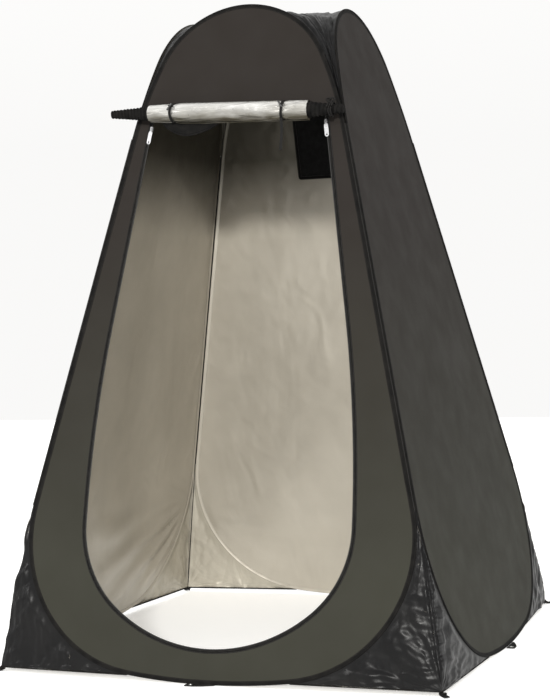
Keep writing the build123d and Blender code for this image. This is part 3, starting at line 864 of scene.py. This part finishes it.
def hem_cord(lines, body, piece_name):
    """Rolled hems of a gusset's free edges, each a line and its radius."""
    piece = Piece()
    for line, radius in lines:
        line = resampled(line, 60, closed=False)
        line[:, 2] = np.maximum(line[:, 2], radius + 0.0002)
        add_tube(piece, line, radius)
    return settle(piece.make(piece_name, [binding], sharp=60), body, "binding")


HEM_RADIUS, THIN_HEM_RADIUS = 0.0024, 0.0014


def gusset(side):
    """Crumpled cloth at a ground corner, in two halves where the corner opens."""
    name = corner_name(side)
    near = gusset_rim(side, 1)
    far = gusset_rim(NEXT_SIDE[side], -1)
    seed = 50 + SIDES.index(side)
    made = []
    if name in CORNERS:
        parts = [(f"corner_{name}", name, np.concatenate([near, far[::-1]]), (f"gusset_{name}",))]
    else:
        top = (near[-1] + far[-1]) / 2
        parts = [
            (f"corner_{name}_a", side, np.concatenate([near, top[None]]), (f"gusset_{name}",)),
            (f"corner_{name}_b", NEXT_SIDE[side], np.concatenate([far, top[None]]), ()),
        ]
    for index, (piece_name, body, rim, nodes) in enumerate(parts):
        rim = resampled(rim, 200 if name in CORNERS else 110, closed=False)
        p, flat, out = gusset_surface(side, rim, seed + 3 * index)
        piece = Piece()
        add_sheet(piece, p, out)
        obj = piece.make(piece_name, [gusset_cloth, crumpled_lining])
        made.append((settle(obj, body, "gusset_cloth", *nodes), area_of(flat)))
        far_radius = HEM_RADIUS if name in CORNERS else THIN_HEM_RADIUS
        hem_cord([(p[:, 0], HEM_RADIUS), (p[:, -1], far_radius)], body, f"hem_{piece_name}")
    return made


def corner_loop(side):
    """Webbing loop pressed flat at a gusset's ground corner, with a knot on it."""
    name = corner_name(side)
    out = turned(side, np.array([1, -1, 0.0]) / math.sqrt(2))
    across = np.cross((0, 0, 1), out)
    start = turned(side, GUSSET_APEX * [1, 1, 0]) + out * 0.001
    a = np.linspace(0, 2 * math.pi, 48, endpoint=False)
    run = 0.013 + 0.0125 * np.sign(np.cos(a)) * np.abs(np.cos(a)) ** 0.6
    rise = 0.0028 + 0.0017 * np.sign(np.sin(a)) * np.abs(np.sin(a)) ** 0.8
    path = start + out * run[:, None] + np.array([0, 0, 1.0]) * rise[:, None]
    way = along(path, True)
    up = np.cross(way, across)
    piece = Piece()
    add_sweep(piece, path, across, up, strip(0.014, 0.0009))
    knot = start + np.array([0, 0, 0.0062]) - out * 0.002
    a = np.linspace(0, 2 * math.pi, 40)
    trefoil = knot + (
        across * (0.0042 * (np.sin(a) + 1.6 * np.sin(2 * a)))[:, None]
        + out * (0.0036 * (np.cos(a) - 1.6 * np.cos(2 * a)))[:, None]
        + np.array([0, 0, 1.0]) * (-0.0026 * np.sin(3 * a))[:, None]
    )
    add_tube(piece, trefoil, 0.0022, hint=(0.1, 0.2, 0.97))
    obj = piece.make(f"ground_loop_{name}", [webbing], sharp=60)
    return settle(obj, corner_body(side), "webbing", f"corner_loop_{name}")


# ---- roof ----------------------------------------------------------------------------
ROOF_MIDDLE = np.array([0, -0.0004, 1.888])
ROOF_TOP = 1.8895


def roof_gore(side):
    """Quarter of the roof: crumpled cloth from a hoop's shoulders to the seams over the corners."""
    rims, ridges = [], []
    for hand in (-1, 1):
        points, centres = hoop_half(0.0, extra_of(side, hand))
        shoulder = arc(centres[3], points[3], points[4], 60)
        run = np.concatenate([shoulder, arc(centres[4], points[4], points[5], 60)[1:]])
        run = resampled(run, 80, closed=False)
        edge = on_wall("front", hand * run[:, 0], run[:, 1], -(SLEEVE - 0.0004))
        seam = (np.abs(edge[:, 0]) - edge[:, 1]) / 2
        ridge = np.stack([hand * seam, -seam - 0.0004, edge[:, 2]], -1)
        rims.append(edge)
        ridges.append(ridge)
    rim = np.concatenate([rims[0], rims[1][::-1]])
    ridge = np.concatenate([ridges[0], ridges[1][::-1]])
    near_middle = (1 - smooth(np.abs(rim[:, 0]), 0.0, 0.16))[:, None]
    ridge = ridge * (1 - near_middle) + ROOF_MIDDLE * near_middle
    over = np.abs(rim[:, 0]) < 0.11
    ridge[:, 2] = np.where(over, np.minimum(ridge[:, 2], ROOF_TOP), ridge[:, 2])
    v = np.linspace(0, 1, 40)[:, None]
    t = v[..., None]
    flat = rim[None] * (1 - t) + ridge[None] * t
    row = np.linspace(0, 1, rim.shape[0])[None, :]
    out = np.array([0, -0.45, 0.89])
    seed = 80 + SIDES.index(side)
    lines = creased(row, v, 5.0, 6.0, seed)
    crumple = facets(flat, seed, 9.0)
    fade = smooth(v, 0.0, 0.2) * (1 - smooth(v, 0.88, 1.0))
    depth = fade * (0.0050 * lines + 0.0042 * crumple - 0.006)
    p = flat + out * depth[..., None]
    p[..., 2] = np.minimum(p[..., 2], HEIGHT - 0.002)
    piece = Piece()
    add_sheet(piece, turned(side, p), turned(side, out))
    obj = piece.make(f"roof_{side}", [gusset_cloth, crumpled_lining])
    settle(obj, side, "gusset_cloth", f"roof_gore_{side}")
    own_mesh(obj)
    return obj, area_of(flat)


# ---- pegging points ------------------------------------------------------------------
def peg_tab(side):
    """Webbing tab under the hem, tapering off to the right, with its metal eyelet."""
    middle = np.array([-0.040, -HALF_BASE - SLEEVE - 0.0123, 0.0016])
    left_end = [(-0.015, 0.012), (-0.015, -0.009), (-0.012, -0.012)]
    tail = [(0.012, -0.012), (0.034, -0.006), (0.066, 0.007), (0.068, 0.012)]
    outline = resampled(left_end + tail, 120)
    a = np.arctan2(outline[:, 1], outline[:, 0])
    hole = 0.0050 * np.stack([np.cos(a), np.sin(a)], -1)
    t = np.linspace(0, 1, 12)[:, None, None]
    flat = hole[None] * (1 - t) + outline[None] * t
    lift = 0.0002 * noise2(flat[..., 0], flat[..., 1], 90, 90, 4) - 0.0001 * smooth(t[..., 0])
    p = middle + np.concatenate([flat, lift[..., None]], -1)
    piece = Piece()
    add_sheet(piece, turned(side, p), (0, 0, 1), 0.0016, wrap=True, slots=(0, 0, 0))
    edge = turned(side, middle + np.concatenate([outline * 0.86, np.full((120, 1), 0.0009)], -1))
    add_stitches(piece, edge, (0, 0, 1), 1, pitch=0.004, size=(0.0026, 0.0006, 0.0004))
    obj = piece.make(f"peg_strap_{side}", [webbing, thread], sharp=40, weld=False)
    settle(obj, side, "webbing", f"peg_tab_{side}")
    rings = Piece()
    lower = [(-0.0008, 0.0041), (-0.0012, 0.0046), (-0.0013, 0.0058), (-0.0010, 0.0067), (-0.0008, 0.0066)]
    section = lower + [(-height, radius) for height, radius in lower[::-1]] + lower[:1]
    add_lathe(rings, turned(side, middle), (0, 0, 1), section, count=48)
    obj = rings.make(f"eyelet_{side}", [eyelet_metal], sharp=60)
    return settle(obj, side, "eyelet_metal", f"peg_eyelet_{side}")


# ---- zip round the doorway -----------------------------------------------------------
ZIP_TOP = 1.606
COIL_TURNS = 1500


def zip_round():
    """Zip tape and coil, from the doorway's top left round the bottom to its top right."""
    up = wall_normal("front")
    path, _, across = laid("front", doorway_line(0.0077, ZIP_TOP, 420), False)
    piece = Piece()
    add_sweep(piece, path, across, up, strip(0.0104, 0.0012, 0.0002), closed=False)
    for offset in (-0.0022, 0.0034):
        add_stitches(piece, path + across * offset + up * 0.0007, up, 1, closed=False)
    obj = piece.make("doorway_zip_tape", [zip_tape, thread], sharp=40, weld=False)
    settle(obj, "front", "zip_tape", "zip_tape")
    path, ahead, _ = laid("front", doorway_line(0.0015, ZIP_TOP, COIL_TURNS), False)
    side = np.cross(up, ahead)
    coil = Piece()
    shape = [(x, y, z) for x in (-1, 1) for y in (-1, 1) for z in (-1, 1)]
    turn = np.where(np.arange(COIL_TURNS) % 2 == 0, 1, -1)[:, None]
    corners = []
    for x, y, z in shape:
        to_side = side * (0.0013 * y + 0.0003 * turn)
        corners.append(path + ahead * (0.00085 * x) + to_side + up * (0.0011 * z - 0.0002 * abs(y)))
    points = np.stack(corners, 1)
    base = np.arange(COIL_TURNS)[:, None] * 8
    quads = ([0, 1, 3, 2], [4, 6, 7, 5], [0, 4, 5, 1], [2, 3, 7, 6], [0, 2, 6, 4], [1, 5, 7, 3])
    coil.add(points, np.concatenate([base + q for q in quads]), 0)
    add_tube(coil, resampled(path, 420, closed=False), 0.0008, hint=tuple(up))
    obj = coil.make("doorway_zip_coil", [zip_coil], sharp=40, weld=False)
    return settle(obj, "front", "zip_coil", "zip_chain")


# ---- rolled door ---------------------------------------------------------------------
HANDS = {-1: "left", 1: "right"}
ROLL_ENDS = 0.248
TIE_AT = 0.172
ROLL_TURNS = 14.6


def on_roll(x, y, z):
    """Points given along, above and in front of the roll's axis."""
    x, y, z = np.broadcast_arrays(*[np.asarray(k, float) for k in (x, y, z)])
    u = ROLL_MIDDLE[0] + x * math.cos(ROLL_TURN) - y * math.sin(ROLL_TURN)
    s = ROLL_MIDDLE[1] + x * math.sin(ROLL_TURN) + y * math.cos(ROLL_TURN)
    return on_wall("front", u, s, ROLL_MIDDLE[2] + z)


def roll_radius(x):
    body = np.interp(x, [-0.248, -0.14, 0, 0.14, 0.248], [0.0240, 0.0282, 0.0288, 0.0284, 0.0262])
    for tie in (-TIE_AT, TIE_AT):
        body = body - 0.0030 * np.exp(-(((x - tie) / 0.013) ** 2))
    return body


def door_roll():
    """The door, wound up with its silver side out."""
    theta = np.linspace(0, 2 * math.pi * ROLL_TURNS, int(ROLL_TURNS * 56))[:, None]
    x = np.linspace(-ROLL_ENDS, ROLL_ENDS, 110)[None, :]
    share = theta / theta.max()
    radius = 0.0035 + (roll_radius(x) - 0.0035) * share
    angle = theta + math.radians(-115) - theta.max()
    near_tie = np.exp(-((np.abs(x) - TIE_AT) / 0.035) ** 2)
    sway = noise2(np.cos(angle) * 2.2 + 5, x, 1.0, 9.0, 21) + 0 * x
    creases = creased(np.sin(angle) * 3.1 + 2 * np.cos(angle), x, 1.6, 7.0, 33)
    puckers = np.sin(9 * angle + 3 * noise2(x, 0 * x, 12.0, 1.0, 3)) * near_tie
    radius = radius + share * (0.0012 * sway + 0.0019 * creases + 0.0012 * puckers - 0.0012)
    sag = -0.0012 * share * (1 - np.abs(x) / ROLL_ENDS)
    p = on_roll(x + 0 * theta, radius * np.sin(angle) + sag, radius * np.cos(angle))
    piece = Piece()
    add_sheet(piece, p, grid_normals(p), 0.0006)
    obj = piece.make("rolled_door", [outer_cloth, door_silver])
    settle(obj, "front", "door_cloth", "door_roll")
    hem = p[-1] + (p[-1] - on_roll(x[0], 0, 0)) * 0.03
    edge = Piece()
    add_tube(edge, hem, 0.0011)
    settle(edge.make("rolled_door_hem", [door_silver]), "front", "door_cloth")
    return obj


def ribbed_end(hand):
    """The door's zip edge wound up on itself at one end of the roll."""
    tail, thick, thin, pitch, lumps = {
        -1: (0.130, 0.0222, 0.0118, 0.0108, 0.0012),
        1: (0.107, 0.0245, 0.0110, 0.0125, 0.0022),
    }[hand]
    rows = np.linspace(0, 1, 150)
    base = thick + (thin - thick) * rows**0.9
    base = base * np.sqrt(np.clip((1 - rows) / 0.03, 0.0, 1.0))
    profile = np.stack([hand * (ROLL_ENDS - 0.003 + rows * tail), base], -1)

    def ribs(x, a, radius):
        reach = np.abs(x) - ROLL_ENDS
        wind = (reach / pitch + a / (2 * math.pi)) % 1.0
        ridge = np.sin(np.pi * wind) ** 0.7
        rough = noise2(reach, np.sin(a) + 2 * np.cos(a), 70.0, 1.3, 14 + hand)
        kept = np.minimum(radius / 0.01, 1.0)
        return radius - kept * 0.0036 * (1 - ridge) + kept * lumps * rough

    piece = Piece()
    start = on_roll(0, 0, 0)
    axis = on_roll(1, 0, 0) - start
    add_lathe(piece, start, axis, profile, count=64, wobble=ribs)
    foot = hand * (ROLL_ENDS - 0.003)
    add_lathe(piece, start, axis, [(foot, 0.0), (foot, base[0])], count=64)
    if hand > 0:
        a = np.linspace(0, 2 * math.pi * 2.4, 90)
        x = ROLL_ENDS + 0.060 + 0.006 * a / (2 * math.pi) + 0.0015 * np.sin(3 * a)
        r = 0.0212 - 0.0006 * a / (2 * math.pi)
        add_tube(piece, on_roll(x, r * np.sin(a), r * np.cos(a)), 0.0023, hint=(0.3, 0.2, 0.9), slots=1)
        a = np.linspace(0, 2 * math.pi, 50)
        knot = on_roll(
            ROLL_ENDS + 0.066 + 0.0046 * (np.sin(a) + 1.7 * np.sin(2 * a)),
            0.020 + 0.0044 * (np.cos(a) - 1.7 * np.cos(2 * a)),
            0.013 - 0.003 * np.sin(3 * a),
        )
        add_tube(piece, knot, 0.0026, hint=(0.1, 0.9, 0.3), slots=1)
    return piece


def door_zip_ends():
    for hand, name in HANDS.items():
        obj = ribbed_end(hand).make(f"wound_zip_{name}", [zip_tape, webbing], sharp=70)
        # one CAD node holds both ends, and the left piece stands for it
        settle(obj, "front", "zip_tape", *(("door_zip_ends",) if hand < 0 else ()))


def tie_strap(hand):
    """Strap round the roll, gathered under its toggle; the right one has a hanging end."""
    a = np.linspace(0, 2 * math.pi, 72, endpoint=False)
    radius = 0.0272 + 0.0005 * np.sin(3 * a)
    x = hand * TIE_AT + 0.0016 * np.sin(2 * a + hand)
    path = on_roll(x, radius * np.sin(a), radius * np.cos(a))
    middle = on_roll(hand * TIE_AT, 0, 0)
    up = path - middle
    axis = on_roll(1, 0, 0) - on_roll(0, 0, 0)
    up = up - (up @ axis)[:, None] * axis
    up /= np.linalg.norm(up, axis=1, keepdims=True)
    piece = Piece()
    across = np.cross(up, along(path, True))
    add_sweep(piece, path, across, up, strip(0.0075, 0.0016, 0.0003))
    back = np.linspace(0, 1, 16)
    foot = on_roll(hand * TIE_AT + 0 * back, 0.030 * back, -0.0295 - 0.0008 * np.sin(3 * back))
    add_sweep(piece, foot, axis, wall_normal("front"), strip(0.0085, 0.0014), closed=False)
    if hand > 0:
        t = np.linspace(0, 1, 40)
        hang = on_roll(
            TIE_AT - 0.003 + 0.006 * t + 0.003 * np.sin(5 * t),
            -0.024 - 0.092 * t,
            0.010 - 0.013 * t + 0.003 * np.sin(6 * t),
        )
        ahead = along(hang, False)
        side = np.cross(ahead, wall_normal("front"))
        side /= np.linalg.norm(side, axis=1, keepdims=True)
        twist = 0.5 * np.sin(2.2 * t)[:, None]
        side = side * np.cos(twist) + np.cross(side, ahead) * np.sin(twist)
        add_sweep(piece, hang, side, np.cross(side, ahead), strip(0.0085, 0.0013), closed=False)
    t = np.linspace(0, 2 * math.pi, 44)
    knot_at = np.array([hand * TIE_AT, 0.010, 0.0255])
    loop = on_roll(
        knot_at[0] + 0.0048 * np.sin(t) + 0.003 * np.sin(2 * t),
        knot_at[1] + 0.0050 * np.cos(t) - 0.0035 * np.cos(2 * t),
        knot_at[2] + 0.0012 * np.sin(3 * t),
    )
    add_tube(piece, loop, 0.0018, hint=(0.1, 0.9, 0.3))
    obj = piece.make(f"strap_{HANDS[hand]}", [webbing], sharp=50, weld=False)
    return settle(obj, "front", "webbing", f"door_tie_{HANDS[hand]}")


# the toggle's middle is above the strap by this much, and out from the roll's axis by this much:
# the roll's radius, the strap, the toggle's radius and a clearance
TOGGLE_RISE, TOGGLE_OUT = 0.008, 0.0296 + 0.0012 + 0.0026 + 0.0004
TOGGLE_HALF = [
    (0.012, 0.0), (0.0119, 0.0013), (0.0112, 0.0021), (0.0098, 0.0026), (0.0030, 0.0026), (0.0021, 0.0019),
]


def toggle(hand):
    """Waisted toggle on a strap, its length tilted."""
    name = HANDS[hand]
    u = ROLL_MIDDLE[0] + hand * TIE_AT * math.cos(ROLL_TURN)
    s = ROLL_MIDDLE[1] + hand * TIE_AT * math.sin(ROLL_TURN) + TOGGLE_RISE
    n = ROLL_MIDDLE[2] + TOGGLE_OUT
    centre = on_wall("front", u, s, n)
    turn = -hand * math.radians(55)
    axis = on_wall("front", u + math.cos(turn), s + math.sin(turn), n) - centre
    profile = [(-x, radius) for x, radius in TOGGLE_HALF] + TOGGLE_HALF[::-1]
    piece = Piece()
    add_lathe(piece, centre, axis, profile, count=32)
    obj = piece.make(f"toggle_{name}", [toggle_plastic], sharp=60)
    return settle(obj, f"tie_toggle_{name}", "toggle_plastic", f"tie_toggle_{name}")


def door_swag():
    """Loose lower edge of the door that hangs in a bow below the roll. Its black sheet is painted shade under
    the roll; its edge tape is the hem.
    """
    t = np.linspace(0, 1, 70)[None, :]
    v = np.linspace(0, 1, 16)[:, None]
    x = -0.212 + 0.178 * t
    bow = np.sin(np.pi * t**0.9) ** 0.9
    drop = -0.020 - (0.004 + 0.037 * bow) * v
    depth = -0.014 - 0.006 * v + 0.0020 * np.sin(9 * t + 2 * v) * v
    p = on_roll(x + 0 * v, drop, depth)
    piece = Piece()
    add_sheet(piece, p, grid_normals(p), 0.0007, slots=(0, 0, 0))
    # black on both faces and the rim, unlike the rolled door's cloth: painted shade under the roll
    obj = piece.make("door_edge_fold", [zip_tape])
    settle(obj, "front", "door_cloth")
    edge = Piece()
    face = grid_normals(p)[-1]
    section = circle(0.0034, 10) * [0.45, 1.0]
    add_sweep(edge, p[-1], face, np.cross(face, along(p[-1], False)), section, closed=False)
    band = settle(edge.make("door_edge_tape", [zip_tape], sharp=60), "front", "zip_tape")
    return obj, band, area_of(p)


# ---- window --------------------------------------------------------------------------
FLAP_MARGIN = 0.016
FLAP_OUT = 0.0024


def window():
    """Netting and its bound frame in the back wall, and the rain flap outside."""
    middle = np.array(WINDOW_MIDDLE)
    loop = rounded_rectangle(middle, (WINDOW_SIZE[0] - 0.012, WINDOW_SIZE[1] - 0.012), 0.003, 260)
    path, _, across = laid("back", loop, True)
    up = wall_normal("back")
    piece = Piece()
    add_sweep(piece, path, across, up, strip(0.0125, 0.0019))
    for height in (-0.0011, 0.0011):
        for offset in (-0.0045, 0.0045):
            add_stitches(piece, path + across * offset + up * height, up * np.sign(height), 1)
    obj = piece.make("window_frame", [binding, thread], sharp=40, weld=False)
    settle(obj, "back", "binding", "window_binding")
    x = np.linspace(-1, 1, 40)[None, :]
    y = np.linspace(-1, 1, 44)[:, None]
    half = (WINDOW_SIZE[0] / 2 - 0.010, WINDOW_SIZE[1] / 2 - 0.010)
    sag = 0.0016 * (1 - x**2) * (1 - y**2) * (1 + 0.5 * noise2(x, y, 2.0, 2.0, 9))
    p = on_wall("back", middle[0] + half[0] * x, middle[1] + half[1] * y, -sag)
    net = Piece()
    add_sheet(net, p, up, 0.0005, slots=(0, 0, 0))
    mesh = settle(net.make("window_netting", [window_net]), "back", "window_mesh", "window_mesh")
    half = np.array(WINDOW_SIZE) / 2 + FLAP_MARGIN

    def on_flap(x, y):
        bulge = 0.0016 * (1 - (y + 1) / 2) ** 1.5 * (1 + np.sin(3.2 * x + 0.6))
        bulge = (bulge + 0.0005 * noise2(x, y, 3, 3, 2)) * smooth(1 - y, 0.0, 0.2)
        return on_wall("back", middle[0] + half[0] * x, middle[1] + half[1] * y, FLAP_OUT + bulge)

    p = on_flap(x, y)
    flap = Piece()
    add_sheet(flap, p, up)
    # the hem stays below the hinge line, where it would turn into the wall
    hem = rounded_rectangle(np.zeros(2), 2 * half - 0.0074, 0.002, 260) / half
    border = on_flap(hem[:, 0], hem[:, 1])
    way = along(border, True)
    add_sweep(flap, border, np.cross(way, up), up, strip(0.007, 0.0014), slots=2)
    obj = flap.make("window_rain_flap", [outer_cloth, lining, binding], sharp=50)
    settle(obj, "window_flap", "wall_cloth", "window_flap")
    return mesh, obj


# ---- put it together -----------------------------------------------------------------
for side in SIDES:
    wall, flat, wall_area = wall_sheet(side)
    sleeve = hoop_sleeve(side)
    seam_tape(side)
    for obj, corner_area in gusset(side):
        # the cut shape isn't known, so the cut is given as a square that holds the area
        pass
    corner_loop(side)
    roof, roof_area = roof_gore(side)
    peg_tab(side)

zip_round()
roll = door_roll()
door_zip_ends()
straps = [tie_strap(hand) for hand in HANDS]
for hand in HANDS:
    toggle(hand)
swag, swag_tape, swag_area = door_swag()
netting, flap = window()

# ---- floor, light and camera ---------------------------------------------------------
ground = Piece()
extent = np.linspace(-9, 9, 19)
gx, gy = np.meshgrid(extent, extent, indexing="ij")
ground.add(np.stack([gx, gy, np.full(gx.shape, -0.0006)], -1), grid_faces(19, 19)[:, ::-1], 0)
ground.make("floor", [floor_paint])

world = bpy.data.worlds.new("studio")
bpy.context.scene.world = world
bpy.context.scene.view_settings.view_transform = "Standard"
world.use_nodes = True
sky = world.node_tree
compass = node(sky, "SeparateXYZ", {"Vector": node(sky, "TexCoord").outputs["Generated"]}).outputs["Z"]
# a little brighter overhead than at the horizon
dome = ranged(sky, compass, 0.1, 0.9, 0.95, 1.2)
sky.links.new(dome, sky.nodes["Background"].inputs["Strength"])
sky.nodes["Background"].inputs["Color"].default_value = (1, 0.995, 0.985, 1)


def aimed(direction):
    """Matrix that looks along a direction."""
    z = -np.asarray(direction, float) / np.linalg.norm(direction)
    x = np.cross((0, 0, 1), z)
    x /= np.linalg.norm(x)
    y = np.cross(z, x)
    return Matrix([[x[i], y[i], z[i], 0] for i in range(3)] + [[0, 0, 0, 1]])


def sun(name, azimuth, elevation, energy, spread, color):
    """Sun lamp that shines from so many degrees right of the front and above the floor."""
    azimuth, elevation = math.radians(azimuth), math.radians(elevation)
    level = math.cos(elevation)
    data = bpy.data.lights.new(name, "SUN")
    data.energy, data.angle, data.color = energy, math.radians(spread), color
    obj = bpy.data.objects.new(name, data)
    direction = (-math.sin(azimuth) * level, math.cos(azimuth) * level, -math.sin(elevation))
    obj.matrix_world = Matrix.Translation((0, 0, 3)) @ aimed(direction)
    bpy.context.scene.collection.objects.link(obj)


sun("key", 16.0, 17.5, 3.3, 4.5, (1, 0.985, 0.95))
sun("fill", -50.0, 26.0, 0.8, 6.0, (1, 0.99, 0.97))

# the camera that was fitted to the photograph
YAW, PITCH, ROLL = math.radians(21.145), math.radians(-1.490), math.radians(-1.856)
level = math.cos(PITCH)
forward = np.array([-math.sin(YAW) * level, math.cos(YAW) * level, math.sin(PITCH)])
right = np.array([math.cos(YAW), math.sin(YAW), 0])
above = np.cross(right, forward)
across = math.cos(ROLL) * right + math.sin(ROLL) * above
upward = -math.sin(ROLL) * right + math.cos(ROLL) * above
lens = bpy.data.cameras.new("view")
lens.lens = 82.82
lens.sensor_width = 36
lens.sensor_height = 36
lens.sensor_fit = "AUTO"
lens.clip_end = 100
view = bpy.data.objects.new("view", lens)
place = (1.7590, -4.6290, 1.0127)
rows = [[across[i], upward[i], -forward[i], place[i]] for i in range(3)]
view.matrix_world = Matrix(rows + [[0, 0, 0, 1]])
bpy.context.scene.collection.objects.link(view)
bpy.context.scene.camera = view
